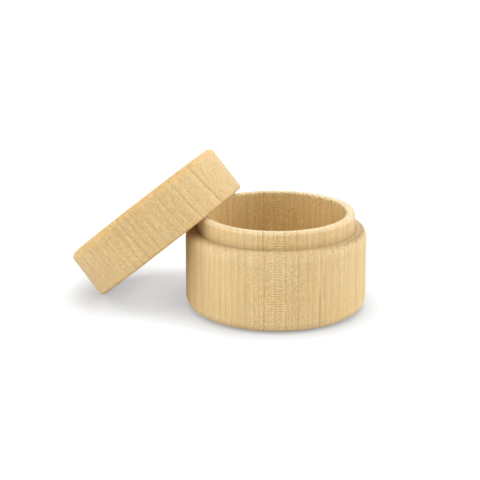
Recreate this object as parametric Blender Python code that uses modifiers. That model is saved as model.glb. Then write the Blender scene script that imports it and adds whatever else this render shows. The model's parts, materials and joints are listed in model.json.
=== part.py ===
"""Small turned wooden box with its loose lid taken off and leaned on the collar.

The box is two pieces of wood, each turned from one blank: a body, with a collar
round its mouth, and a cap-shaped lid whose recess slips over that collar. When
the box is shut the two outer walls are flush. Here the lid stands on its rim
beside the body, tilted so that the mouth of its recess lies on the collar.

Metres, +Z up. The origin is the centre of the body's underside.
"""

import math

import bpy
import numpy as np
from mathutils import Euler, Vector

# Body
OUTER_DIAMETER = 0.0635
SHOULDER_HEIGHT = 0.0284
SHOULDER_WIDTH = 0.00425
COLLAR_HEIGHT = 0.0061
COLLAR_WALL = 0.0031
FLOOR_THICKNESS = 0.0045

# Rounded corners of the body
BASE_ROUND = 0.0046
SHOULDER_ROUND_WIDTH = 0.00175
SHOULDER_ROUND_DEPTH = 0.0035
COLLAR_FOOT_FILLET = 0.0004
RIM_OUTER_ROUND = 0.0009
RIM_INNER_ROUND = 0.0003
COMPARTMENT_FILLET = 0.0020

# Lid, flush with the body when it is on
LID_HEIGHT = 0.01825
LID_TOP_THICKNESS = 0.0050
LID_FIT_CLEARANCE = 0.0004
LID_TOP_ROUND = 0.0024
LID_RIM_ROUND = 0.0010
LID_MOUTH_CHAMFER = 0.0010
LID_RECESS_FILLET = 0.0015

# How the lid leans: its tilt from level, and the way that its foot lies from the body
LEAN_TILT = math.radians(39.65)
LEAN_HEADING = math.radians(164.8)
RESTING_GAP = 0.0003

# Fineness of the turned surfaces
FACETS_AROUND = 96
ROUND_TOLERANCE = 0.00003
MERGE_DISTANCE = 0.00001
CONTACT_SAMPLE_SPACING = 0.0004
CONTACT_SAMPLE_ANGLES = 181
CONTACT_TOLERANCE = 0.000001

# A corner takes at most this share of the wall that it is cut from
CORNER_SHARE = 0.45

# Shading by face area, so that flats stay flat beside their rounded corners
SHADING_WEIGHT = 100

WOOD_ROUGHNESS = 0.55
BODY_COLOUR = (0.78, 0.55, 0.28)
LID_COLOUR = (0.80, 0.57, 0.30)


class Outline:
    """Half section of a turned piece: (radius, height) points, down its outer side."""

    def __init__(self, radius, height):
        self.points = [(radius, height)]

    def line_to(self, radius, height):
        """Run straight to a point."""
        self.points.append((radius, height))

    def round_to(self, radius, height, starts_level):
        """Run a quarter of an ellipse to a point, leaving level or upright."""
        start_radius, start_height = self.points[-1]
        across = radius - start_radius
        along = height - start_height
        for turn in quarter_turns(max(abs(across), abs(along))):
            if starts_level:
                point = (start_radius + across * math.sin(turn), height - along * math.cos(turn))
            else:
                point = (radius - across * math.cos(turn), start_height + along * math.sin(turn))
            self.points.append(point)

    def sampled(self, spacing):
        """The outline's points with more between them, no further apart than spacing."""
        corners = np.array(self.points)
        stretches = [corners[:1]]
        for start, end in zip(corners[:-1], corners[1:]):
            count = math.ceil(np.linalg.norm(end - start) / spacing)
            shares = np.arange(1, count + 1)[:, None] / count
            stretches.append(start + (end - start) * shares)
        return np.concatenate(stretches)


def quarter_turns(radius):
    """Angles from just past 0 to 90 degrees whose chords stay within the tolerance."""
    facet = 2 * math.acos(1 - min(1, ROUND_TOLERANCE / radius))
    count = math.ceil(math.pi / 2 / facet)
    return [math.pi / 2 * step / count for step in range(1, count + 1)]


def corner(size, wall):
    """A corner's size, held to its share of the wall that it is cut from."""
    return min(size, CORNER_SHARE * wall)


def body_outline():
    """The body: compartment, rim, collar, shoulder, wall and base."""
    outer = OUTER_DIAMETER / 2
    collar = outer - SHOULDER_WIDTH
    bore = collar - COLLAR_WALL
    rim_height = SHOULDER_HEIGHT + COLLAR_HEIGHT
    compartment_fillet = corner(COMPARTMENT_FILLET, bore)
    rim_inner = corner(RIM_INNER_ROUND, COLLAR_WALL)
    rim_outer = corner(RIM_OUTER_ROUND, COLLAR_WALL)
    collar_foot = corner(COLLAR_FOOT_FILLET, SHOULDER_WIDTH)
    shoulder_width = corner(SHOULDER_ROUND_WIDTH, SHOULDER_WIDTH)
    shoulder_depth = corner(SHOULDER_ROUND_DEPTH, SHOULDER_HEIGHT)
    base = corner(BASE_ROUND, SHOULDER_HEIGHT)

    outline = Outline(0, FLOOR_THICKNESS)
    outline.line_to(bore - compartment_fillet, FLOOR_THICKNESS)
    outline.round_to(bore, FLOOR_THICKNESS + compartment_fillet, starts_level=True)
    outline.line_to(bore, rim_height - rim_inner)
    outline.round_to(bore + rim_inner, rim_height, starts_level=False)
    outline.line_to(collar - rim_outer, rim_height)
    outline.round_to(collar, rim_height - rim_outer, starts_level=True)
    outline.line_to(collar, SHOULDER_HEIGHT + collar_foot)
    outline.round_to(collar + collar_foot, SHOULDER_HEIGHT, starts_level=False)
    outline.line_to(outer - shoulder_width, SHOULDER_HEIGHT)
    outline.round_to(outer, SHOULDER_HEIGHT - shoulder_depth, starts_level=True)
    outline.line_to(outer, base)
    outline.round_to(outer - base, 0, starts_level=False)
    outline.line_to(0, 0)
    return outline


def lid_outline():
    """The lid, rim down on height 0: top, wall, rim, mouth chamfer and recess."""
    outer = OUTER_DIAMETER / 2
    lid_wall = SHOULDER_WIDTH - LID_FIT_CLEARANCE
    recess = outer - lid_wall
    recess_height = LID_HEIGHT - LID_TOP_THICKNESS
    top = corner(LID_TOP_ROUND, LID_HEIGHT)
    rim = corner(LID_RIM_ROUND, lid_wall)
    mouth = corner(LID_MOUTH_CHAMFER, lid_wall)
    recess_fillet = corner(LID_RECESS_FILLET, recess_height)

    outline = Outline(0, LID_HEIGHT)
    outline.line_to(outer - top, LID_HEIGHT)
    outline.round_to(outer, LID_HEIGHT - top, starts_level=True)
    outline.line_to(outer, rim)
    outline.round_to(outer - rim, 0, starts_level=False)
    outline.line_to(recess + mouth, 0)
    outline.line_to(recess, mouth)
    outline.line_to(recess, recess_height - recess_fillet)
    outline.round_to(recess - recess_fillet, recess_height, starts_level=False)
    outline.line_to(0, recess_height)
    return outline


def nearest_gap(radii, heights, outline):
    """Smallest distance from points in the half section's plane to an outline."""
    corners = np.array(outline.points)
    starts = corners[:-1]
    runs = corners[1:] - starts
    points = np.stack([radii, heights], axis=-1)[:, None, :]
    along = np.sum((points - starts) * runs, axis=-1) / np.sum(runs * runs, axis=-1)
    nearest = starts + np.clip(along, 0, 1)[..., None] * runs
    return np.linalg.norm(points - nearest, axis=-1).min()


def leaning_place(body, lid):
    """Where the centre of the lid's rim lies when the lid leans on the collar.

    Its height puts the lowest point of the tilted lid on the ground: a point at
    (radius, height) on the downhill side is radius * sin(tilt) - height * cos(tilt)
    below that centre. Its distance comes from sliding the tilted lid in towards the
    body, each time by what is left of the gap, which can't take it too far.
    """
    section = lid.sampled(CONTACT_SAMPLE_SPACING)
    sine, cosine = math.sin(LEAN_TILT), math.cos(LEAN_TILT)
    rim_centre_height = (section[:, 0] * sine - section[:, 1] * cosine).max()

    half_round = np.linspace(0, math.pi, CONTACT_SAMPLE_ANGLES)
    downhill = section[:, :1] * np.cos(half_round)
    sideways = section[:, :1] * np.sin(half_round)
    away = (downhill * cosine + section[:, 1:] * sine).ravel()
    heights = (section[:, 1:] * cosine - downhill * sine + rim_centre_height).ravel()
    sideways = sideways.ravel()

    well_clear = OUTER_DIAMETER + LID_HEIGHT
    distance = well_clear
    gap = math.inf
    while gap - RESTING_GAP > CONTACT_TOLERANCE:
        gap = nearest_gap(np.hypot(distance + away, sideways), heights, body)
        distance -= gap - RESTING_GAP
    return Vector((distance * math.cos(LEAN_HEADING), distance * math.sin(LEAN_HEADING), rim_centre_height))


def wood(name, colour):
    """Bare, smoothly sanded pale wood."""
    material = bpy.data.materials.new(name)
    material.use_nodes = True
    shader = material.node_tree.nodes["Principled BSDF"]
    shader.inputs["Base Color"].default_value = (*colour, 1)
    shader.inputs["Roughness"].default_value = WOOD_ROUGHNESS
    shader.inputs["Metallic"].default_value = 0
    return material


def turned_piece(name, outline, material, collection):
    """A piece made by turning an outline once round the Z axis."""
    mesh = bpy.data.meshes.new(name)
    vertices = [(radius, 0, height) for radius, height in outline.points]
    edges = [(index, index + 1) for index in range(len(vertices) - 1)]
    mesh.from_pydata(vertices, edges, [])
    mesh.materials.append(material)
    piece = bpy.data.objects.new(name, mesh)
    collection.objects.link(piece)

    lathe = piece.modifiers.new("turn on the lathe", "SCREW")
    lathe.axis = "Z"
    lathe.angle = 2 * math.pi
    lathe.steps = FACETS_AROUND
    lathe.render_steps = FACETS_AROUND
    lathe.use_merge_vertices = True
    lathe.merge_threshold = MERGE_DISTANCE
    lathe.use_smooth_shade = True

    shading = piece.modifiers.new("keep flats flat", "WEIGHTED_NORMAL")
    shading.weight = SHADING_WEIGHT
    return piece


def clear_scene():
    """Remove every object that the scene holds."""
    for thing in list(bpy.data.objects):
        bpy.data.objects.remove(thing, do_unlink=True)


def build():
    """Turn both pieces, leave the body on the origin and lean the lid on it."""
    clear_scene()
    collection = bpy.data.collections.new("turned_wooden_box")
    bpy.context.scene.collection.children.link(collection)

    body = body_outline()
    lid = lid_outline()
    turned_piece("box_body", body, wood("body_wood", BODY_COLOUR), collection)
    lid_piece = turned_piece("lid", lid, wood("lid_wood", LID_COLOUR), collection)
    lid_piece.location = leaning_place(body, lid)
    lid_piece.rotation_euler = Euler((0, LEAN_TILT, LEAN_HEADING))


build()
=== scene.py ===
"""Small turned wooden box, open, with its loose lid leaning on the collar.

Both pieces are bare pale wood, turned from solid blanks and finely sanded. Each is
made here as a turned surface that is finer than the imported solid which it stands
for, and dressed in solid wood: growth rings, rays and fibres that run through the
piece, so that they meet at every edge as they do on the real one.
"""

from __future__ import annotations

import json
import logging
import math
from dataclasses import dataclass, field
from enum import Enum
from typing import NamedTuple

import bpy
import numpy as np
from mathutils import Matrix, Vector

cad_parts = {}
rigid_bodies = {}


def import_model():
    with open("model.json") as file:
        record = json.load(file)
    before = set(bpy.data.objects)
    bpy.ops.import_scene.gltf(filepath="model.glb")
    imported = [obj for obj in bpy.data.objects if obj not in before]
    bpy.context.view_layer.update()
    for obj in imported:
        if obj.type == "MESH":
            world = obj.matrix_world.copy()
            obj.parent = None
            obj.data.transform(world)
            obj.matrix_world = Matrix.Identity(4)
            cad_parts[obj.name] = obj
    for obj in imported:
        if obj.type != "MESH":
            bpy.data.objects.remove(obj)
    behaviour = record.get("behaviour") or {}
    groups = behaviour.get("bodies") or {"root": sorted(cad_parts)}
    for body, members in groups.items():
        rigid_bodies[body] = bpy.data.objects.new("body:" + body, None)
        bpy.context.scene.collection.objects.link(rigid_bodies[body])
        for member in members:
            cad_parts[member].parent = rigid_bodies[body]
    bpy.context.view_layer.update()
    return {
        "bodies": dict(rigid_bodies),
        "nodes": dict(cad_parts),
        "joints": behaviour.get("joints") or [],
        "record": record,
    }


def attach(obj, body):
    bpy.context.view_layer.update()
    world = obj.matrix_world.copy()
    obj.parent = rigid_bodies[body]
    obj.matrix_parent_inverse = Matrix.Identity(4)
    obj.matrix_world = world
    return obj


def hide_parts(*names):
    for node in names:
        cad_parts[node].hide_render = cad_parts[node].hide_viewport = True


LOG = logging.getLogger("turned_box")
MILLIMETRE = 0.001
FEWEST_LINE_ROWS = 2
FEWEST_CORNER_ROWS = 3
CORNER_DECIMALS = 6
UPRIGHT_TOLERANCE = 1e-4
SHORTEST_RUN = 1e-9

# Length of one band of the wave pattern at a scale of 1
WAVE_LENGTH = math.pi / 10

Place = tuple[float, float]
Range = tuple[float, float]
Scale = tuple[float, float, float]
Colour = tuple[float, float, float]
Socket = bpy.types.NodeSocket
Input = Socket | float | tuple


class Start(Enum):
    """Which way a rounded corner of a section sets off."""

    LEVEL = "level"
    UPRIGHT = "upright"


class Zone(Enum):
    """A stretch of a section, as the turner would name it."""

    HOLLOW = "hollow"
    MOUTH_EDGE = "inner edge of the rim"
    RIM = "rim"
    RIM_EDGE = "outer edge of the rim"
    WALL = "wall"
    FOOT = "foot of the collar"
    SHOULDER = "shoulder"
    BROW = "rounded edge of the shoulder"
    TOE = "rounded bottom edge"
    CROWN = "rounded top edge of the lid"
    LIP = "outer edge of the lid's rim"
    END = "flat end"


class Section:
    """Half section of a turned piece, traced down its outer side."""

    def __init__(self, start: Place, zone: Zone) -> None:
        """Begin at a point.

        Args:
            start: radius and height of the first point, in metres.
            zone: what the first point belongs to.
        """
        self.points: list[np.ndarray] = [np.array([start])]
        self.zones: list[Zone] = [zone]

    def line_to(self, end: Place, zone: Zone, spacing: float) -> None:
        """Run straight to a point, with the rows of points closer near both ends.

        A row's share of the run is half of one less the cosine of its turn, where
        the turns go from 0 to 180 degrees in equal steps.

        Args:
            end: radius and height of the point, in metres.
            zone: what the stretch belongs to.
            spacing: how far apart the rows lie on average, in metres.
        """
        start = self.points[-1][-1]
        run = np.array(end) - start
        count = max(FEWEST_LINE_ROWS, math.ceil(np.linalg.norm(run) / spacing))
        shares = (1 - np.cos(np.arange(1, count + 1) * (math.pi / count))) / 2
        self._add(start + run * shares[:, None], zone)

    def round_to(self, end: Place, start: Start, zone: Zone, spacing: float) -> None:
        """Run a quarter of an ellipse to a point.

        From level, the radius goes with the sine of the turn and the height with
        its cosine; from upright it is the other way round.

        Args:
            end: radius and height of the point, in metres.
            start: whether the corner sets off level or upright.
            zone: what the corner belongs to.
            spacing: about how far apart the rows of points lie, in metres.
        """
        first = self.points[-1][-1]
        across, along = np.array(end) - first
        length = math.pi / 2 * max(abs(across), abs(along))
        count = max(FEWEST_CORNER_ROWS, math.ceil(length / spacing))
        turn = np.arange(1, count + 1) * (math.pi / 2 / count)
        if start is Start.LEVEL:
            rows = [first[0] + across * np.sin(turn), end[1] - along * np.cos(turn)]
        else:
            rows = [end[0] - across * np.cos(turn), first[1] + along * np.sin(turn)]
        self._add(np.stack(rows, axis=1), zone)

    def _add(self, rows: np.ndarray, zone: Zone) -> None:
        """Take up more rows of one zone."""
        self.points.append(rows)
        self.zones.extend([zone] * len(rows))

    def rows(self) -> np.ndarray:
        """All points as rows of radius and height."""
        return np.concatenate(self.points)

    def blended(self, values: dict[Zone, Colour], reach: float) -> np.ndarray:
        """A colour for each row, blended where one zone meets the next.

        The colour of a row is the mean of all the rows' colours, each weighed by a
        bell curve of how far along the section it lies.

        Args:
            values: the colour of each zone; white for a zone that isn't named.
            reach: how far the blend reaches, in metres.

        Returns:
            One row of red, green and blue for each row of the section.
        """
        colours = np.array([values.get(zone, (1.0, 1.0, 1.0)) for zone in self.zones])
        along = self.along()
        weights = np.exp(-(((along[:, None] - along) / reach) ** 2)) * np.gradient(along)
        return weights @ colours / weights.sum(axis=1, keepdims=True)

    def along(self) -> np.ndarray:
        """How far along the section each row lies from its first point, in metres."""
        steps = np.linalg.norm(np.diff(self.rows(), axis=0), axis=1)
        return np.concatenate([[0], np.cumsum(steps)])

    def past_start_of(self, zone: Zone) -> np.ndarray:
        """How far along the section each row lies past the first row of a zone, in metres."""
        along = self.along()
        return along - along[self.zones.index(zone)]

    def share_of(self, *zones: Zone) -> np.ndarray:
        """1 for each row in one of the zones, and 0 for the others."""
        return np.array([float(zone in zones) for zone in self.zones])

    def end_grain(self) -> np.ndarray:
        """How squarely each row cuts across the fibres: 1 on a level face, 0 on a wall."""
        run = np.gradient(self.rows(), axis=0)
        return np.abs(run[:, 0]) / np.maximum(np.linalg.norm(run, axis=1), SHORTEST_RUN)


@dataclass(frozen=True)
class TurningAxis:
    """Where a turned piece stands: the centre of its base, and its own directions."""

    base: Vector
    turn: Matrix

    @classmethod
    def of_node(cls, node: bpy.types.Object) -> TurningAxis:
        """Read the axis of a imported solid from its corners.

        The corners of a turned solid lie alike all round it, so their mean is on
        the axis, and the axis is the one direction in which they spread unlike
        the other two. It is taken to point up. The piece's own X points downhill,
        and its base is as far down the axis as its lowest corners.

        Args:
            node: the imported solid, with its place in its mesh.

        Returns:
            The axis of the piece.
        """
        corners = np.zeros(len(node.data.vertices) * 3, np.float32)
        node.data.vertices.foreach_get("co", corners)
        corners = np.unique(np.round(corners.reshape(-1, 3), CORNER_DECIMALS), axis=0).astype(float)
        middle = corners.mean(axis=0)
        spread, ways = np.linalg.eigh(np.cov((corners - middle).T))
        odd_one = int(np.argmax(np.abs(spread - np.median(spread))))
        up = ways[:, odd_one] * np.sign(ways[2, odd_one])
        base = middle + up * ((corners - middle) @ up).min()
        leans = np.hypot(up[0], up[1]) > UPRIGHT_TOLERANCE
        downhill = np.array([up[0], up[1], 0]) if leans else np.array([1.0, 0, 0])
        across = np.cross(up, downhill)
        across /= np.linalg.norm(across)
        turn = Matrix(np.stack([np.cross(across, up), across, up], axis=1).tolist())
        return cls(Vector(base), turn)

    def placed(self, points: np.ndarray) -> np.ndarray:
        """Points of the piece's own frame, in the row frame."""
        return points @ np.array(self.turn).T + np.array(self.base)


@dataclass(frozen=True)
class TornFibres:
    """Short fibres torn and lifted along a stretch of the mouth's inner edge.

    Turns are counted from the piece's own X, and lengths are in metres. Each
    fibre's reach and width are random shares of the common ones.
    """

    from_turn: float
    to_turn: float
    count: int
    reach: float
    seed: int
    width: float = 0.00030
    depth_below_rim: float = 0.0007
    reach_shares: Range = (-0.6, 1.0)
    width_shares: Range = (0.6, 1.3)

    def lift(self, turns: np.ndarray, below_rim: np.ndarray, radius: float) -> np.ndarray:
        """How far the surface moves towards the axis.

        Each fibre is a bell curve round the edge, in or out, and all of them fade
        with the square of the depth below the rim, as another bell curve.

        Args:
            turns: angles round the mouth, in radians.
            below_rim: depth of each row below the rim, in metres.
            radius: radius of the mouth, in metres.

        Returns:
            One row for each depth, one column for each angle, in metres.
        """
        draw = np.random.default_rng(self.seed)
        places = draw.uniform(self.from_turn, self.to_turn, self.count)
        reaches = draw.uniform(*self.reach_shares, self.count) * self.reach
        widths = draw.uniform(*self.width_shares, self.count) * self.width
        away = (turns[:, None] - places) * radius / widths
        round_the_edge = (reaches * np.exp(-away**2)).sum(axis=1)
        fade = np.exp(-((below_rim / self.depth_below_rim) ** 2))
        return fade[:, None] * round_the_edge


TORN_FIBRES = (
    TornFibres(math.radians(0), math.radians(360), count=260, reach=0.00013, seed=3),
    TornFibres(math.radians(4), math.radians(68), count=52, reach=0.00050, seed=7),
)


@dataclass(frozen=True)
class RoughShadedSide:
    """A side of the shoulder's edge: rougher where it cuts across the fibres, and darker, partly torn end
    grain and partly painted shade.
    """

    middle: float
    half_width: float
    depth: float

    def share(self, turns: np.ndarray) -> np.ndarray:
        """A bell curve of the way round from the middle, times the depth."""
        away = (turns - self.middle + math.pi) % (2 * math.pi) - math.pi
        return self.depth * np.exp(-((away / self.half_width) ** 2))


# Right side, front and left side of the shoulder's edge. The front one is painted shade, and on the sides
# painted shade lies over the torn end grain.
ROUGH_SHADED_SIDES = (
    RoughShadedSide(math.radians(-17), math.radians(36), depth=0.34),
    RoughShadedSide(math.radians(-90), math.radians(30), depth=0.05),
    RoughShadedSide(math.radians(-150), math.radians(25), depth=0.09),
)


class Lumps(NamedTuple):
    """A smooth random pattern: its lumps to a millimetre each way, and how it breaks up."""

    per_mm: Scale
    detail: float = 2.0
    roughness: float = 0.5


class Ramp(NamedTuple):
    """A value's way from low to high, as a number from start to end, held there outside."""

    low: float
    high: float
    start: float = 0.0
    end: float = 1.0
    smooth: bool = True


class Nodes:
    """Adds nodes to one material or world and joins them up."""

    def __init__(self, owner: bpy.types.Material | bpy.types.World) -> None:
        """Start on an empty tree.

        Args:
            owner: the material or world that the nodes are for.
        """
        owner.use_nodes = True
        self.tree = owner.node_tree
        self.tree.nodes.clear()

    def add(self, kind: str, inputs: dict[str | int, Input], **settings: object) -> bpy.types.Node:
        """Add a node.

        Args:
            kind: which node.
            inputs: a link or a plain value for each socket that gets one.
            settings: the node's own settings.

        Returns:
            The new node.
        """
        node = self.tree.nodes.new(kind)
        for name, value in settings.items():
            setattr(node, name, value)
        for name, value in inputs.items():
            if isinstance(value, Socket):
                self.tree.links.new(value, node.inputs[name])
            else:
                node.inputs[name].default_value = value
        return node

    def math(self, operation: str, first: Input, second: Input = 0.0) -> Socket:
        """One sum on numbers."""
        return self.add("ShaderNodeMath", {0: first, 1: second}, operation=operation).outputs[0]

    def times(self, first: Input, second: Input) -> Socket:
        """One number times another."""
        return self.math("MULTIPLY", first, second)

    def sum(self, *values: Input) -> Input:
        """All the values added up.

        Args:
            values: two numbers or more.

        Returns:
            Their sum.
        """
        total = values[0]
        for value in values[1:]:
            total = self.math("ADD", total, value)
        return total

    def vector(self, operation: str, first: Input, second: Input) -> dict[str, Socket]:
        """One sum on places, as its outputs by name."""
        return self.add("ShaderNodeVectorMath", {0: first, 1: second}, operation=operation).outputs

    def ramp(self, value: Input, ramp: Ramp) -> Socket:
        """A value taken through a ramp.

        Args:
            value: the value.
            ramp: where it starts and ends.

        Returns:
            The number that the ramp gives.
        """
        sockets = {"Value": value} | dict(zip(("From Min", "From Max", "To Min", "To Max"), ramp))
        way = "SMOOTHSTEP" if ramp.smooth else "LINEAR"
        return self.add("ShaderNodeMapRange", sockets, interpolation_type=way).outputs["Result"]

    def swing(self, value: Input, amount: float) -> Socket:
        """A random value about one half, as a swing either way of nought."""
        return self.times(self.math("SUBTRACT", value, 0.5), 2 * amount)

    def mix(self, share: Input, first: Input, second: Input, way: str = "MIX") -> Socket:
        """Mix two colours, or combine them in another way.

        Args:
            share: how much of the second one, or of the combination.
            first: a colour.
            second: another colour.
            way: how they are combined.

        Returns:
            The mixed colour.
        """
        whole = [(*colour, 1) if isinstance(colour, tuple) else colour for colour in (first, second)]
        sockets = {"Factor": share} | dict(zip("AB", whole))
        return self.add("ShaderNodeMix", sockets, data_type="RGBA", blend_type=way).outputs["Result"]


class WoodNodes(Nodes):
    """The nodes of a piece's wood, whose patterns all go by the place in the blank.

    The place is in millimetres from the centre of the piece's base, with X the way
    that the tree grew, Y along the rings and Z up.
    """

    def __init__(self, material: bpy.types.Material, axis: TurningAxis, heading: float) -> None:
        """Start on an empty material.

        Args:
            material: the material that the nodes are for.
            axis: the axis of the piece.
            heading: the turn from the piece's own X to the way that the tree grew.
        """
        super().__init__(material)
        rotation = axis.turn @ Matrix.Rotation(heading, 3, "Z")
        frame = {
            "Vector": self.add("ShaderNodeTexCoord", {}).outputs["Object"],
            "Location": axis.base,
            "Rotation": rotation.to_euler(),
            "Scale": (MILLIMETRE,) * 3,
        }
        self.place = self.add("ShaderNodeMapping", frame, vector_type="TEXTURE").outputs["Vector"]
        self.parts = self.add("ShaderNodeSeparateXYZ", {0: self.place}).outputs

    def scaled(self, factors: Scale) -> Socket:
        """The place, times a number for each direction."""
        return self.vector("MULTIPLY", self.place, factors)["Vector"]

    def off_axis(self) -> Socket:
        """How far the place lies from the axis."""
        return self.vector("LENGTH", self.scaled((1.0, 1.0, 0.0)), (0.0, 0.0, 0.0))["Value"]

    def lumps(self, lumps: Lumps) -> Socket:
        """A smooth random number about one half."""
        fineness = {"Scale": 1.0, "Detail": lumps.detail, "Roughness": lumps.roughness, "Distortion": 0.0}
        return self.add("ShaderNodeTexNoise", {"Vector": self.scaled(lumps.per_mm)} | fineness).outputs["Fac"]

    def attribute(self, name: str) -> Socket:
        """A number that the mesh carries at each point."""
        return self.add("ShaderNodeAttribute", {}, attribute_name=name).outputs["Fac"]


@dataclass(frozen=True)
class Streak:
    """A dark streak that follows a ring line for part of its height, in millimetres."""

    place: float
    bottom: float
    top: float
    width: float
    strength: float
    even_share: float = 0.7


@dataclass(frozen=True)
class GrowthRings:
    """The growth rings that a piece is cut from, as slices across its blank.

    Places are where each ring starts or ends on the outer wall, in millimetres along
    the way that the tree grew, with the piece's axis at nought. Strengths say how
    dark each ring's last wood is. The slope is how far the rings lean that way for
    each unit up the piece, about the height that is given.
    """

    places: tuple[float, ...]
    strengths: tuple[float, ...]
    heading: float
    pith_distance: float
    waver: float
    slope: float = 0.0
    slope_about: float = 0.0
    wall_radius: float = 31.75
    streaks: tuple[Streak, ...] = ()
    waves: Lumps = Lumps((0.08, 0.08, 0.11), detail=3.0)
    breaks: Lumps = Lumps((0.3, 0.3, 0.22), detail=3.0)
    unbroken: Ramp = Ramp(0.36, 0.62, 0.45, 1.0)
    line: Ramp = Ramp(0.86, 0.98)
    line_depth: Ramp = Ramp(0.0, 1.0, 0.36, 0.20, smooth=False)
    slow: Ramp = Ramp(0.0, 0.95, -0.070, 0.055, smooth=False)

    def on_axis(self, place: float) -> float:
        """Where the ring that meets the outer wall at a place would cross the piece's own X.

        The ring bends back from there by the square of its way along the rings, over
        twice the pith's distance.
        """
        return place + (self.wall_radius**2 - place**2) / (2 * self.pith_distance)

    def darkness(self, nodes: WoodNodes) -> Socket:
        """Each ring darkens slowly, ends in a thin dark line and starts pale again.

        The ring number at a place is the sum of its ways through every ring, each
        from 0 to 1. A ring bends about the pith, so its place is X plus Y squared
        over twice the pith's distance, less its slope, and it wavers a little. The
        lines are fainter in the hollow, whose surface is left as it was cut.

        Args:
            nodes: the material's nodes.

        Returns:
            The darkness that the rings add.
        """
        forward, along, height = nodes.parts
        bend = nodes.math("DIVIDE", nodes.times(along, along), 2 * self.pith_distance)
        lean = nodes.times(nodes.math("SUBTRACT", height, self.slope_about), -self.slope)
        waver = nodes.swing(nodes.lumps(self.waves), self.waver)
        across = nodes.sum(forward, bend, lean, waver)
        ends = [self.on_axis(end) for end in self.places]
        ways = [nodes.ramp(across, Ramp(*pair, smooth=False)) for pair in zip(ends[:-1], ends[1:])]
        number = nodes.sum(*ways)
        whole = nodes.math("FLOOR", number)
        way = nodes.math("SUBTRACT", number, whole)
        unbroken = nodes.ramp(nodes.lumps(self.breaks), self.unbroken)
        strength = nodes.times(self._strength(nodes, whole), unbroken)
        line = nodes.times(nodes.ramp(way, self.line), strength)
        depth = nodes.ramp(nodes.attribute("hollow"), self.line_depth)
        streaks = [self._streak(nodes, streak, across, height) for streak in self.streaks]
        return nodes.sum(nodes.times(line, depth), nodes.ramp(way, self.slow), *streaks)

    def _streak(self, nodes: WoodNodes, streak: Streak, across: Input, height: Input) -> Socket:
        """A dark streak: a bell curve across the rings, between two heights.

        Args:
            nodes: the material's nodes.
            streak: where the streak is and how dark.
            across: place across the rings, in millimetres.
            height: height above the piece's base, in millimetres.

        Returns:
            The darkness that it adds.
        """
        away = nodes.math("SUBTRACT", across, self.on_axis(streak.place))
        away = nodes.math("DIVIDE", away, streak.width)
        bell = nodes.math("POWER", math.e, nodes.times(nodes.times(away, away), -1.0))
        middle = (streak.bottom + streak.top) / 2
        half = (streak.top - streak.bottom) / 2
        from_middle = nodes.math("ABSOLUTE", nodes.math("SUBTRACT", height, middle))
        within = nodes.ramp(from_middle, Ramp(streak.even_share * half, half, streak.strength, 0.0))
        return nodes.times(bell, within)

    def _strength(self, nodes: WoodNodes, whole: Input) -> Socket:
        """How dark each ring ends, looked up by its number.

        Args:
            nodes: the material's nodes.
            whole: the ring's number, counted from 0.

        Returns:
            The ring's strength, as a grey colour.
        """
        count = len(self.strengths)
        middle_of_step = nodes.math("ADD", whole, 0.5)
        node = nodes.add("ShaderNodeValToRGB", {"Fac": nodes.math("DIVIDE", middle_of_step, float(count))})
        lookup = node.color_ramp
        lookup.interpolation = "CONSTANT"
        for index, strength in enumerate(self.strengths):
            stop = lookup.elements[0] if index == 0 else lookup.elements.new(index / count)
            stop.position = index / count
            stop.color = (strength, strength, strength, 1)
        lookup.elements.remove(lookup.elements[-1])
        return node.outputs["Color"]


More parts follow.
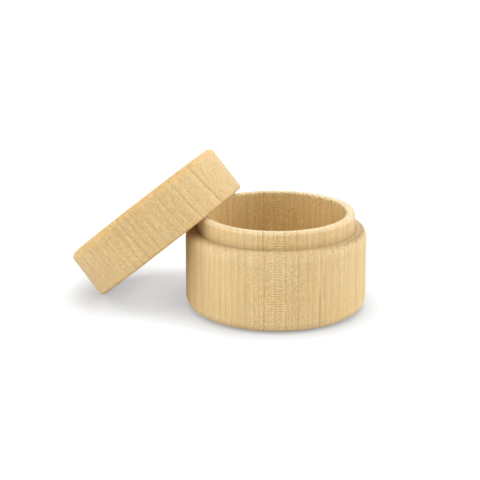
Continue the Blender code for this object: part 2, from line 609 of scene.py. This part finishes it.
@dataclass(frozen=True)
class Rays:
    """Rays: thin upright sheets that run out from the pith.

    Where the surface lies along them they show as a ladder of rungs, whose ends
    hang down with the square of the way from the middle. A little further round
    they are short ticks, and elsewhere fine specks. Pitch is in millimetres.
    """

    ladder: float
    rung_pitch: float = 0.84
    rung_arch: float = 0.045
    rung_scale: Scale = (0.7, 0.7, 1.0)
    rung_waver: float = 6.0
    rung_waver_detail: float = 1.5
    rung_waver_scale: float = 0.4
    rung_depth: float = 0.27
    rung_facing: Range = (0.991, 0.9985)
    breaks: Lumps = Lumps((0.34, 0.34, 0.36))
    unbroken: Ramp = Ramp(0.44, 0.60, 0.12, 1.0)
    ticks: Lumps = Lumps((2.0, 3.4, 1.5), detail=1.5)
    tick_edge: Ramp = Ramp(0.36, 0.64)
    tick_facing: Range = (0.92, 0.975)
    tick_depths: Range = (0.06, 0.13)

    def darkness(self, nodes: WoodNodes) -> Socket:
        """The ladder and the ticks, each where the surface faces that way.

        Facing is the cosine of the angle between the wall and the rays: the size of
        Y over the distance from the axis.

        Args:
            nodes: the material's nodes.

        Returns:
            The darkness that the rays add.
        """
        facing = nodes.math("DIVIDE", nodes.math("ABSOLUTE", nodes.parts["Y"]), nodes.off_axis())
        unbroken = nodes.ramp(nodes.lumps(self.breaks), self.unbroken)
        shown = nodes.ramp(facing, Ramp(*self.rung_facing, 0.0, self.rung_depth * self.ladder))
        ladder = nodes.times(nodes.swing(self._rungs(nodes), 1.0), nodes.times(unbroken, shown))
        least, most = self.tick_depths
        beside = nodes.ramp(facing, Ramp(*self.tick_facing, least, most * (1 + self.ladder) / 2))
        ticks = nodes.swing(nodes.ramp(nodes.lumps(self.ticks), self.tick_edge), 1.0)
        return nodes.sum(ladder, nodes.times(ticks, beside))

    def _rungs(self, nodes: WoodNodes) -> Socket:
        """Wavering bands up the piece.

        Args:
            nodes: the material's nodes.

        Returns:
            A wave between 0 and 1.
        """
        aside = nodes.parts["X"]
        hang = nodes.times(nodes.times(aside, aside), self.rung_arch)
        arch = nodes.add("ShaderNodeCombineXYZ", {"Z": hang}).outputs["Vector"]
        wave = {
            "Vector": nodes.vector("ADD", nodes.scaled(self.rung_scale), arch)["Vector"],
            "Scale": WAVE_LENGTH / self.rung_pitch,
            "Distortion": self.rung_waver,
            "Detail": self.rung_waver_detail,
            "Detail Scale": self.rung_waver_scale,
        }
        bands = {"wave_type": "BANDS", "bands_direction": "Z", "wave_profile": "SIN"}
        return nodes.add("ShaderNodeTexWave", wave, **bands).outputs["Fac"]


@dataclass(frozen=True)
class TurnedWood:
    """Bare, finely sanded wood of a pale, close-grained kind.

    Darkness runs from 0, the palest wood, through 0.5, the common tone, to 1.2, the
    darkest ring line. A zone's tint multiplies the colour there. On some zones the tint
    is painted light, as noted at the tints. The sheen, the specular level and the
    relief, which is in metres, are the same all over.
    """

    name: str
    rings: GrowthRings
    rays: Rays
    tone: float
    mottle: float
    pale: Colour = (0.930, 0.742, 0.428)
    middle: Colour = (0.752, 0.540, 0.256)
    dark: Colour = (0.468, 0.266, 0.082)
    pale_to_middle: Ramp = Ramp(0.1, 0.5, smooth=False)
    middle_to_dark: Ramp = Ramp(0.5, 1.2, smooth=False)
    tints: dict[Zone, Colour] = field(default_factory=lambda: {
        Zone.HOLLOW: (0.975, 0.98, 0.935),
        Zone.MOUTH_EDGE: (0.94, 0.98, 1.02),
        # Painted highlight and painted reflection of the white surroundings on the rim
        Zone.RIM: (1.16, 1.32, 1.66),
        # Painted highlight on the rim's outer edge
        Zone.RIM_EDGE: (1.14, 1.20, 1.36),
        # Painted light on the shoulder
        Zone.SHOULDER: (1.00, 1.01, 1.05),
        # Painted highlight on the shoulder's rounded edge
        Zone.BROW: (1.03, 1.04, 1.10),
        Zone.TOE: (1.03, 1.06, 1.12),
        Zone.CROWN: (1.06, 1.00, 0.88),
        # Painted light, reflected from the floor, on the lid's lip
        Zone.LIP: (1.03, 0.99, 0.93),
    })
    tint_reach: float = 0.00028
    warm_cast: Colour = (1.020, 0.992, 0.965)
    cool_cast: Colour = (0.984, 1.005, 1.020)
    casts: Lumps = Lumps((0.45, 0.45, 0.12))
    cast_edge: Ramp = Ramp(0.3, 0.7)
    fibres: Lumps = Lumps((2.3, 1.3, 0.06), detail=3.0, roughness=0.6)
    fibre_depth: float = 0.22
    bands: Lumps = Lumps((0.55, 0.22, 0.02))
    band_depth: float = 0.08
    pores: Lumps = Lumps((3.4, 3.4, 0.42), detail=1.0)
    pore_edge: Ramp = Ramp(0.56, 0.70)
    pore_depth: Ramp = Ramp(0.05, 0.5, 0.10, 0.35)
    nicks: Lumps = Lumps((1.5, 1.5, 0.7), detail=1.5)
    nick_edge: Ramp = Ramp(0.46, 0.64, 0.0, 0.65)
    specks: Lumps = Lumps((1.7, 1.7, 1.2), detail=3.0, roughness=0.7)
    speck_depth: float = 0.09
    speck_gain: Ramp = Ramp(0.0, 1.0, 1.0, 2.0, smooth=False)
    clouds: Lumps = Lumps((0.12, 0.12, 0.09))
    cloud_depth: float = 0.08
    patches: Lumps = Lumps((1.15, 1.15, 0.9), roughness=0.6)
    fluff: Lumps = Lumps((1.1, 1.1, 0.9), detail=2.5, roughness=0.65)
    fluff_edge: Ramp = Ramp(0.56, 0.68, 0.0, -0.26)
    tips: Lumps = Lumps((1.5, 1.5, 0.9), detail=1.5)
    tip_edge: Ramp = Ramp(0.49, 0.58, 0.06, -0.80)
    grooves_per_mm: float = 1.6
    groove_detail: float = 2.0
    groove_depth: float = 0.12
    groove_level: Ramp = Ramp(0.8, 1.0)
    roughness: Ramp = Ramp(0.0, 1.0, 0.45, 0.65)
    relief: float = 0.000015
    relief_strength: float = 0.5
    specular: float = 0.4
    sheen: float = 0.10
    sheen_roughness: float = 0.45

    def make(self, axis: TurningAxis) -> bpy.types.Material:
        """Make the material for a piece that stands on an axis.

        Args:
            axis: the axis of the piece that is cut from this wood.

        Returns:
            The finished material.
        """
        material = bpy.data.materials.new(self.name)
        nodes = WoodNodes(material, axis, self.rings.heading)
        darkness = nodes.sum(
            self.tone,
            self.rings.darkness(nodes),
            self._fibres(nodes),
            self.rays.darkness(nodes),
            self._pores(nodes),
            self._specks(nodes),
            self._tool_marks(nodes),
        )
        self._shade(nodes, self._colour(nodes, darkness), darkness)
        return material

    def _fibres(self, nodes: WoodNodes) -> Socket:
        """Fibres: long streaks along the axis, and broader bands of them."""
        fine, broad = nodes.lumps(self.fibres), nodes.lumps(self.bands)
        return nodes.sum(nodes.swing(fine, self.fibre_depth), nodes.swing(broad, self.band_depth))

    def _pores(self, nodes: WoodNodes) -> Socket:
        """Pores: sparse dark ticks along the axis, plainer to see where a corner cuts them.

        On the rough sides of the shoulder there are coarser nicks as well.

        Args:
            nodes: the material's nodes.

        Returns:
            The darkness that the pores add.
        """
        depth = nodes.ramp(nodes.attribute("end_grain"), self.pore_depth)
        fine = nodes.times(nodes.ramp(nodes.lumps(self.pores), self.pore_edge), depth)
        nicks = nodes.ramp(nodes.lumps(self.nicks), self.nick_edge)
        return nodes.sum(fine, nodes.times(nicks, nodes.attribute("rough")))

    def _specks(self, nodes: WoodNodes) -> Socket:
        """Specks and soft patches, stronger in the hollow, which is left as it was cut.

        The hollow has pale fluff on it too, and the torn mouth the pale tips of fibres.

        Args:
            nodes: the material's nodes.

        Returns:
            The darkness that they add.
        """
        hollow = nodes.attribute("hollow")
        specks = nodes.swing(nodes.lumps(self.specks), self.speck_depth)
        fluff = nodes.ramp(nodes.lumps(self.fluff), self.fluff_edge)
        tips = nodes.ramp(nodes.lumps(self.tips), self.tip_edge)
        return nodes.sum(
            nodes.times(specks, nodes.ramp(hollow, self.speck_gain)),
            nodes.swing(nodes.lumps(self.clouds), self.cloud_depth),
            nodes.swing(nodes.lumps(self.patches), self.mottle),
            nodes.times(fluff, hollow),
            nodes.times(tips, nodes.attribute("torn")),
        )

    def _tool_marks(self, nodes: WoodNodes) -> Socket:
        """Fine rings round the axis that the turner's tool leaves on the level faces.

        Args:
            nodes: the material's nodes.

        Returns:
            The darkness that they add.
        """
        fineness = {"W": nodes.off_axis(), "Scale": self.grooves_per_mm, "Detail": self.groove_detail}
        grooves = nodes.add("ShaderNodeTexNoise", fineness, noise_dimensions="1D").outputs["Fac"]
        level = nodes.ramp(nodes.attribute("end_grain"), self.groove_level)
        return nodes.times(nodes.swing(grooves, self.groove_depth), level)

    def _colour(self, nodes: WoodNodes, darkness: Input) -> Socket:
        """From pale to dark wood by darkness, times the tint that the mesh carries.

        The wood is a little warmer in some patches and a little greener in others.

        Args:
            nodes: the material's nodes.
            darkness: how dark the wood is.

        Returns:
            The colour of the wood.
        """
        lower = nodes.mix(nodes.ramp(darkness, self.pale_to_middle), self.pale, self.middle)
        colour = nodes.mix(nodes.ramp(darkness, self.middle_to_dark), lower, self.dark)
        tint = nodes.add("ShaderNodeAttribute", {}, attribute_name="tint").outputs["Color"]
        tinted = nodes.mix(1.0, colour, tint, "MULTIPLY")
        cooler = nodes.ramp(nodes.lumps(self.casts), self.cast_edge)
        return nodes.mix(1.0, tinted, nodes.mix(cooler, self.warm_cast, self.cool_cast), "MULTIPLY")

    def _shade(self, nodes: WoodNodes, colour: Input, darkness: Input) -> None:
        """Satin surface with the wood's own slight relief: dark wood lies lower and is rougher.

        Args:
            nodes: the material's nodes.
            colour: the colour of the wood.
            darkness: how dark the wood is.
        """
        height = nodes.math("SUBTRACT", 1.0, darkness)
        relief = {"Strength": self.relief_strength, "Distance": self.relief, "Height": height}
        surface = {
            "Base Color": colour,
            "Roughness": nodes.ramp(darkness, self.roughness),
            "Normal": nodes.add("ShaderNodeBump", relief).outputs["Normal"],
            "Specular IOR Level": self.specular,
            "Sheen Weight": self.sheen,
            "Sheen Roughness": self.sheen_roughness,
        }
        shader = nodes.add("ShaderNodeBsdfPrincipled", surface)
        nodes.add("ShaderNodeOutputMaterial", {"Surface": shader.outputs["BSDF"]})


BODY_RINGS = GrowthRings(
    places=(-31.5, -29.9, -27.0, -24.1, -22.9, -20.3, -18.3, -16.3, -14.7, -12.2, -10.5, -7.3, -5.2, -3.15,
            0.45, 4.0, 5.75, 7.45, 10.4, 12.75, 15.0, 17.0, 19.3, 20.9, 22.7, 25.55, 28.3, 30.5, 32.0),
    strengths=(0.3, 0.35, 0.35, 0.4, 0.35, 0.3, 0.45, 0.35, 0.3, 0.65, 1.25, 0.6, 1.3, 0.35,
               1.45, 0.7, 0.4, 0.6, 0.6, 0.8, 0.6, 0.35, 0.6, 0.4, 0.5, 0.3, 0.3, 0.3),
    heading=math.pi,
    pith_distance=260.0,
    waver=0.15,
    streaks=(
        Streak(place=-14.85, bottom=1.5, top=14.5, width=0.24, strength=0.45),
        Streak(place=-16.2, bottom=11.0, top=21.0, width=0.35, strength=0.20),
    ),
)
LID_RINGS = GrowthRings(
    places=(-32.5, -29.0, -25.5, -23.6, -20.4, -18.55, -16.0, -14.35, -11.4, -8.8, -6.7, -3.9, -0.7, 2.5,
            4.9, 6.3, 8.8, 11.0, 13.15, 15.45, 18.35, 20.85, 23.6, 26.5, 29.2, 32.0),
    strengths=(1.0, 0.15, 1.5, 0.2, 1.4, 0.15, 0.6, 0.4, 0.6, 0.6, 1.3, 0.8, 0.7,
               0.5, 0.25, 0.5, 0.7, 1.0, 0.8, 0.8, 0.5, 0.5, 0.3, 0.3, 0.3),
    heading=0.0,
    pith_distance=240.0,
    waver=0.45,
    slope=0.08,
    slope_about=9.0,
)


@dataclass
class TurnedPiece:
    """What both pieces share: a section turned once round its own axis."""

    name: str
    node: str
    body: str
    slot: str
    finish: TurnedWood
    around: int = 540
    wall_spacing: float = 0.0012
    fillet_spacing: float = 0.0005
    corner_spacing: float = 0.00022
    face_spacing: float = 0.0015
    axis: TurningAxis = field(init=False)

    def section(self) -> Section:
        """The half section of the piece."""
        raise NotImplementedError

    def radii(self, section: Section, turns: np.ndarray) -> np.ndarray:
        """Radius of every point, one row for each point of the section."""
        return np.repeat(section.rows()[:, :1], len(turns), axis=1)

    def marks(self, section: Section, turns: np.ndarray) -> dict[str, np.ndarray]:
        """What the finish needs to know at every point, by name.

        Args:
            section: the half section of the piece.
            turns: angles round the piece, in radians from its own X.

        Returns:
            For each name an array with a row for each row of the section and a
            column for each angle.
        """
        shape = (len(section.zones), len(turns))
        return {
            "hollow": np.broadcast_to(section.share_of(Zone.HOLLOW)[:, None], shape),
            "end_grain": np.broadcast_to(section.end_grain()[:, None], shape),
            "rough": np.zeros(shape),
            "torn": np.zeros(shape),
            "shade": np.ones(shape),
        }

    def build(self, frame: dict) -> bpy.types.Object:
        """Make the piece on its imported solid's axis, dress it and let it ride.

        A point of the surface is the radius times the cosine and the sine of the
        turn, at the section's height. The first and last rows are on the axis, so
        each is one point that closes the surface with a fan of triangles.

        Args:
            frame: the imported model.

        Returns:
            The finished piece.
        """
        self.axis = TurningAxis.of_node(frame["nodes"][self.node])
        section = self.section()
        turns = np.arange(self.around) * (2 * math.pi / self.around)
        rings = self.radii(section, turns)[1:-1]
        heights = section.rows()[:, 1]
        levels = np.repeat(heights[1:-1, None], self.around, axis=1)
        grid = np.stack([rings * np.cos(turns), rings * np.sin(turns), levels], axis=-1)
        ends = np.array([[0, 0, heights[0]], [0, 0, heights[-1]]])
        points = self.axis.placed(np.concatenate([ends[:1], grid.reshape(-1, 3), ends[1:]]))
        mesh = self._mesh(points, len(rings))
        self._carry(mesh, section, self.marks(section, turns))
        piece = bpy.data.objects.new(self.name, mesh)
        bpy.context.scene.collection.objects.link(piece)
        mesh.materials.append(self.finish.make(self.axis))
        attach(piece, self.body)
        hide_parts(self.node)
        return piece

    def _mesh(self, points: np.ndarray, rows: int) -> bpy.types.Mesh:
        """Closed mesh from the two end points and the rings between them.

        Args:
            points: the first end, the rings in order, and the last end.
            rows: how many rings there are.

        Returns:
            A smoothly shaded mesh whose faces point outwards.
        """
        ring = 1 + np.arange(rows * self.around).reshape(rows, self.around)
        beside = np.roll(ring, -1, axis=1)
        quads = np.stack([ring[:-1], ring[1:], beside[1:], beside[:-1]], axis=-1).reshape(-1, 4)
        first_fan = np.stack([np.zeros_like(ring[0]), ring[0], beside[0]], axis=-1)
        last_fan = np.stack([ring[-1], np.full_like(ring[-1], len(points) - 1), beside[-1]], axis=-1)
        mesh = bpy.data.meshes.new(self.name)
        mesh.from_pydata(points.tolist(), [], quads.tolist() + first_fan.tolist() + last_fan.tolist())
        mesh.shade_smooth()
        return mesh

    def _carry(self, mesh: bpy.types.Mesh, section: Section, marks: dict[str, np.ndarray]) -> None:
        """Write the marks, and the tint of each zone times its shade, at all the points.

        Args:
            mesh: the mesh of the piece.
            section: the half section of the piece.
            marks: the marks by name, as rows of the section by angles.
        """
        for name in ("hollow", "end_grain", "rough", "torn"):
            values = self._at_points(marks[name]).astype(np.float32)
            mesh.attributes.new(name, "FLOAT", "POINT").data.foreach_set("value", values)
        tint = section.blended(self.finish.tints, self.finish.tint_reach)[:, None]
        shaded = self._at_points(tint * marks["shade"][..., None])
        colours = np.concatenate([shaded, np.ones((len(shaded), 1))], axis=1).astype(np.float32)
        mesh.attributes.new("tint", "FLOAT_COLOR", "POINT").data.foreach_set("color", colours.ravel())

    def _at_points(self, values: np.ndarray) -> np.ndarray:
        """Values of rows by angles, in the order of the mesh's points."""
        inner = values[1:-1].reshape(-1, *values.shape[2:])
        return np.concatenate([values[:1, 0], inner, values[-1:, 0]])


@dataclass
class BoxBody(TurnedPiece):
    """The body: a cup with a collar round its mouth, in metres."""

    outer_radius: float = 0.03175
    shoulder_height: float = 0.0284
    shoulder_width: float = 0.00425
    collar_height: float = 0.0061
    collar_wall: float = 0.0031
    floor_thickness: float = 0.0045
    base_round: float = 0.0046
    shoulder_round_width: float = 0.00175
    shoulder_round_depth: float = 0.0035
    collar_foot_fillet: float = 0.0004
    rim_outer_round: float = 0.0009
    rim_inner_round: float = 0.00045
    rim_fall: float = 0.00018
    compartment_fillet: float = 0.0020
    around: int = 680
    torn: tuple[TornFibres, ...] = TORN_FIBRES
    torn_across_rim: float = 0.0015
    torn_depth: float = 0.0010
    torn_elsewhere: float = 0.4
    rough_shaded_sides: tuple[RoughShadedSide, ...] = ROUGH_SHADED_SIDES
    brow_place: float = 0.0001
    brow_reach: float = 0.0011
    corner_shade: float = 0.40
    corner_reach: float = 0.00075

    def section(self) -> Section:
        """Trace the compartment, rim, collar, shoulder, wall and base.

        Returns:
            The half section of the body.
        """
        outer, shoulder, base = self.outer_radius, self.shoulder_height, self.floor_thickness
        collar = outer - self.shoulder_width
        bore = collar - self.collar_wall
        rim = shoulder + self.collar_height
        mouth = rim - self.rim_fall
        wall, fine, tight = self.wall_spacing, self.fillet_spacing, self.corner_spacing
        fillet, foot = self.compartment_fillet, self.collar_foot_fillet

        section = Section((0, base), Zone.HOLLOW)
        section.line_to((bore - fillet, base), Zone.HOLLOW, self.face_spacing)
        section.round_to((bore, base + fillet), Start.LEVEL, Zone.HOLLOW, fine)
        section.line_to((bore, mouth - self.rim_inner_round), Zone.HOLLOW, wall)
        section.round_to((bore + self.rim_inner_round, mouth), Start.UPRIGHT, Zone.MOUTH_EDGE, tight)
        section.line_to((collar - self.rim_outer_round, rim), Zone.RIM, wall)
        section.round_to((collar, rim - self.rim_outer_round), Start.LEVEL, Zone.RIM_EDGE, tight)
        section.line_to((collar, shoulder + foot), Zone.WALL, wall)
        section.round_to((collar + foot, shoulder), Start.UPRIGHT, Zone.FOOT, tight)
        section.line_to((outer - self.shoulder_round_width, shoulder), Zone.SHOULDER, wall)
        section.round_to((outer, shoulder - self.shoulder_round_depth), Start.LEVEL, Zone.BROW, tight)
        section.line_to((outer, self.base_round), Zone.WALL, wall)
        section.round_to((outer - self.base_round, 0), Start.UPRIGHT, Zone.TOE, fine)
        section.line_to((0, 0), Zone.END, self.face_spacing)
        return section

    def _below_rim(self, section: Section) -> np.ndarray:
        """How far each row lies below the rim, in metres."""
        return self.shoulder_height + self.collar_height - section.rows()[:, 1]

    def radii(self, section: Section, turns: np.ndarray) -> np.ndarray:
        """The section's radii, with the torn fibres at the mouth's inner edge.

        The fibres' lift fades evenly to nought across the inner part of the rim.

        Args:
            section: the half section of the body.
            turns: angles round the body, in radians from its own X.

        Returns:
            One row for each row of the section, one column for each angle, in metres.
        """
        bore = self.outer_radius - self.shoulder_width - self.collar_wall
        at_edge = np.clip(1 - (section.rows()[:, 0] - bore) / self.torn_across_rim, 0, 1)
        lift = sum(torn.lift(turns, self._below_rim(section), bore) for torn in self.torn)
        return super().radii(section, turns) - at_edge[:, None] * lift

    def marks(self, section: Section, turns: np.ndarray) -> dict[str, np.ndarray]:
        """The common marks, with the torn mouth, the rough shoulder and the shaded corner.

        The corner at the collar's foot is darker by painted shade, a share that halves
        about every half millimetre. The shoulder's edge is rougher on the sides that cut
        across the fibres, and darker there and at the front, partly by painted shade, as a
        bell curve along the section.

        Args:
            section: the half section of the body.
            turns: angles round the body, in radians from its own X.

        Returns:
            For each name an array with a row for each row of the section and a
            column for each angle.
        """
        in_mouth = section.share_of(Zone.HOLLOW, Zone.MOUTH_EDGE)
        near_rim = in_mouth * np.exp(-((self._below_rim(section) / self.torn_depth) ** 2))
        strongest = self.torn[-1]
        most_torn = (turns > strongest.from_turn) & (turns < strongest.to_turn)
        ragged = np.where(most_torn, 1.0, self.torn_elsewhere)
        across = sum(side.share(turns) for side in self.rough_shaded_sides)
        edge = (section.past_start_of(Zone.BROW) - self.brow_place) / self.brow_reach
        brow = np.exp(-(edge**2))[:, None] * across
        # Painted shade: darker towards the corner at the collar's foot, and on the shoulder's edge
        corner = np.abs(section.past_start_of(Zone.FOOT) - self.collar_foot_fillet)
        shaded = 1 - self.corner_shade * np.exp(-corner / self.corner_reach)
        return super().marks(section, turns) | {
            "torn": near_rim[:, None] * ragged,
            "rough": brow / max(side.depth for side in self.rough_shaded_sides),
            "shade": shaded[:, None] * (1 - brow),
        }


@dataclass
class Lid(TurnedPiece):
    """The lid: a cap whose recess slips over the collar, in metres."""

    outer_radius: float = 0.03175
    height: float = 0.01825
    wall: float = 0.00385
    top_thickness: float = 0.0050
    top_round: float = 0.0024
    rim_round: float = 0.0010
    mouth_chamfer: float = 0.0010
    recess_fillet: float = 0.0015

    def section(self) -> Section:
        """Trace the top, wall, rim, mouth chamfer and recess.

        Returns:
            The half section of the lid, standing on its rim.
        """
        outer, top = self.outer_radius, self.height
        recess = outer - self.wall
        roof = top - self.top_thickness
        wall, fine, tight = self.wall_spacing, self.fillet_spacing, self.corner_spacing

        section = Section((0, top), Zone.END)
        section.line_to((outer - self.top_round, top), Zone.END, self.face_spacing)
        section.round_to((outer, top - self.top_round), Start.LEVEL, Zone.CROWN, tight)
        section.line_to((outer, self.rim_round), Zone.WALL, wall)
        section.round_to((outer - self.rim_round, 0), Start.UPRIGHT, Zone.LIP, tight)
        section.line_to((recess + self.mouth_chamfer, 0), Zone.RIM, wall)
        section.line_to((recess, self.mouth_chamfer), Zone.RIM, tight)
        section.line_to((recess, roof - self.recess_fillet), Zone.HOLLOW, wall)
        section.round_to((recess - self.recess_fillet, roof), Start.UPRIGHT, Zone.HOLLOW, fine)
        section.line_to((0, roof), Zone.HOLLOW, self.face_spacing)
        return section


@dataclass(frozen=True)
class Lamp:
    """A far, wide lamp: where it stands, how wide it looks and how bright it is.

    Azimuth 0 is behind the viewer, and 90 is to the viewer's right.
    """

    name: str
    azimuth: float
    elevation: float
    width: float
    strength: float

    def light(self) -> None:
        """Hang the lamp, turned so that it shines from its place to the object."""
        lamp = bpy.data.lights.new(self.name, "SUN")
        lamp.energy = self.strength
        lamp.angle = math.radians(self.width)
        thing = bpy.data.objects.new(self.name, lamp)
        turn, rise = math.radians(self.azimuth), math.radians(self.elevation)
        level = math.cos(rise)
        towards = Vector((math.sin(turn) * level, -math.cos(turn) * level, math.sin(rise)))
        thing.rotation_euler = towards.to_track_quat("Z", "Y").to_euler()
        bpy.context.scene.collection.objects.link(thing)


@dataclass(frozen=True)
class Studio:
    """Plain pale floor, soft lamps and the camera of the photograph, in metres and degrees.

    The floor that the camera sees glows, more where it lies open within the near and
    the far reach, so that it is white with a soft shadow under the object.
    """

    floor_half_width: float = 6.0
    floor_shade: float = 0.84
    floor_seen_shade: float = 0.19
    floor_glow: float = 0.296
    near_reach: float = 0.020
    near_glow: float = 0.261
    far_reach: float = 0.040
    far_glow: float = 0.653
    openness_samples: int = 4
    surroundings: float = 0.28
    lamps: tuple[Lamp, ...] = (
        Lamp("left_box", azimuth=-65.0, elevation=15.0, width=70.0, strength=1.80),
        Lamp("right_box", azimuth=95.0, elevation=20.0, width=60.0, strength=1.95),
        Lamp("front_fill", azimuth=0.0, elevation=45.0, width=60.0, strength=0.49),
        Lamp("overhead", azimuth=0.0, elevation=88.0, width=60.0, strength=0.29),
        Lamp("back_light", azimuth=180.0, elevation=50.0, width=60.0, strength=0.88),
    )
    camera_distance: float = 0.49328
    camera_elevation: float = 19.693
    aim_left: float = 1.491
    aim_up: float = 2.612
    roll: float = -0.422
    lens: float = 103.73
    sensor: float = 36.0

    def set_up(self) -> None:
        """Lay the floor, light the object and place the camera."""
        bpy.context.scene.view_settings.view_transform = "Standard"
        self._floor()
        self._surroundings()
        for lamp in self.lamps:
            lamp.light()
        self._camera()

    def _floor(self) -> None:
        """Lay a wide pale floor, just under the object."""
        half = self.floor_half_width
        mesh = bpy.data.meshes.new("floor")
        outline = [(-half, -half, 0), (half, -half, 0), (half, half, 0), (-half, half, 0)]
        mesh.from_pydata(outline, [], [(0, 1, 2, 3)])
        floor = bpy.data.objects.new("floor", mesh)
        bpy.context.scene.collection.objects.link(floor)
        material = bpy.data.materials.new("floor_paper")
        nodes = Nodes(material)
        paper, seen_paper = [
            nodes.add("ShaderNodeBsdfDiffuse", {"Color": (shade, shade, shade, 1)}).outputs["BSDF"]
            for shade in (self.floor_shade, self.floor_seen_shade)
        ]
        near = nodes.times(self._openness(nodes, self.near_reach), self.near_glow)
        far = self._openness(nodes, self.far_reach)
        far = nodes.times(nodes.times(far, far), self.far_glow)
        glow = nodes.add("ShaderNodeEmission", {"Strength": nodes.sum(self.floor_glow, near, far)})
        seen = nodes.add("ShaderNodeAddShader", {0: seen_paper, 1: glow.outputs["Emission"]})
        camera_ray = nodes.add("ShaderNodeLightPath", {}).outputs["Is Camera Ray"]
        choice = nodes.add("ShaderNodeMixShader", {"Fac": camera_ray, 1: paper, 2: seen.outputs["Shader"]})
        nodes.add("ShaderNodeOutputMaterial", {"Surface": choice.outputs["Shader"]})
        mesh.materials.append(material)

    def _openness(self, nodes: Nodes, reach: float) -> Socket:
        """How open the floor lies within a reach: 1 in the open and 0 in a closed corner."""
        settings = {"samples": self.openness_samples}
        return nodes.add("ShaderNodeAmbientOcclusion", {"Distance": reach}, **settings).outputs["AO"]

    def _surroundings(self) -> None:
        """Make the world white to the camera and in reflections, and dimmer as a light."""
        world = bpy.data.worlds.new("surroundings")
        nodes = Nodes(world)
        path = nodes.add("ShaderNodeLightPath", {}).outputs
        seen = nodes.math("MAXIMUM", path["Is Camera Ray"], path["Is Glossy Ray"])
        seen = nodes.math("MAXIMUM", seen, path["Is Transmission Ray"])
        strength = nodes.ramp(seen, Ramp(0.0, 1.0, self.surroundings, 1.0, smooth=False))
        background = nodes.add("ShaderNodeBackground", {"Color": (1, 1, 1, 1), "Strength": strength})
        nodes.add("ShaderNodeOutputWorld", {"Surface": background.outputs["Background"]})
        bpy.context.scene.world = world

    def _camera(self) -> None:
        """The camera looks at the middle of the underside, then aims left, up and rolls.

        Each turn is about the camera's own axes as the turn before left them.
        """
        rise = math.radians(self.camera_elevation)
        place = Vector((0, -math.cos(rise), math.sin(rise))) * self.camera_distance
        forward = -place.normalized()
        right = forward.cross(Vector((0, 0, 1))).normalized()
        up = right.cross(forward)
        aim_left = Matrix.Rotation(math.radians(self.aim_left), 3, up)
        forward, right = aim_left @ forward, aim_left @ right
        aim_up = Matrix.Rotation(math.radians(self.aim_up), 3, right)
        forward, up = aim_up @ forward, aim_up @ up
        roll = Matrix.Rotation(math.radians(self.roll), 3, forward)
        right, up = roll @ right, roll @ up
        turn = Matrix((right, up, -forward)).transposed()
        data = bpy.data.cameras.new("camera")
        data.lens = self.lens
        data.sensor_width = self.sensor
        camera = bpy.data.objects.new("camera", data)
        camera.matrix_world = Matrix.Translation(place) @ turn.to_4x4()
        bpy.context.scene.collection.objects.link(camera)
        bpy.context.scene.camera = camera


def corners(box: tuple[Vector, Vector]) -> list[list[float]]:
    """A box's two corners as plain lists."""
    return [list(map(float, corner)) for corner in box]


def main() -> None:
    """Build the body and the lid, and set up the studio."""
    logging.basicConfig(level=logging.INFO, format="%(message)s")
    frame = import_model()
    body_wood = TurnedWood("body_wood", BODY_RINGS, Rays(ladder=1.0), tone=0.49, mottle=0.07)
    lid_wood = TurnedWood("lid_wood", LID_RINGS, Rays(ladder=0.35), tone=0.555, mottle=0.35)
    body = BoxBody("turned_body", "box_body", "body", "body_wood", body_wood)
    lid = Lid("turned_lid", "lid", "lid", "lid_wood", lid_wood)
    for piece in (body, lid):
        mesh = piece.build(frame).data
        LOG.info("%s: %d points, %d faces", piece.name, len(mesh.vertices), len(mesh.polygons))
    Studio().set_up()
    bpy.context.view_layer.update()


if __name__ == "__main__":
    main()
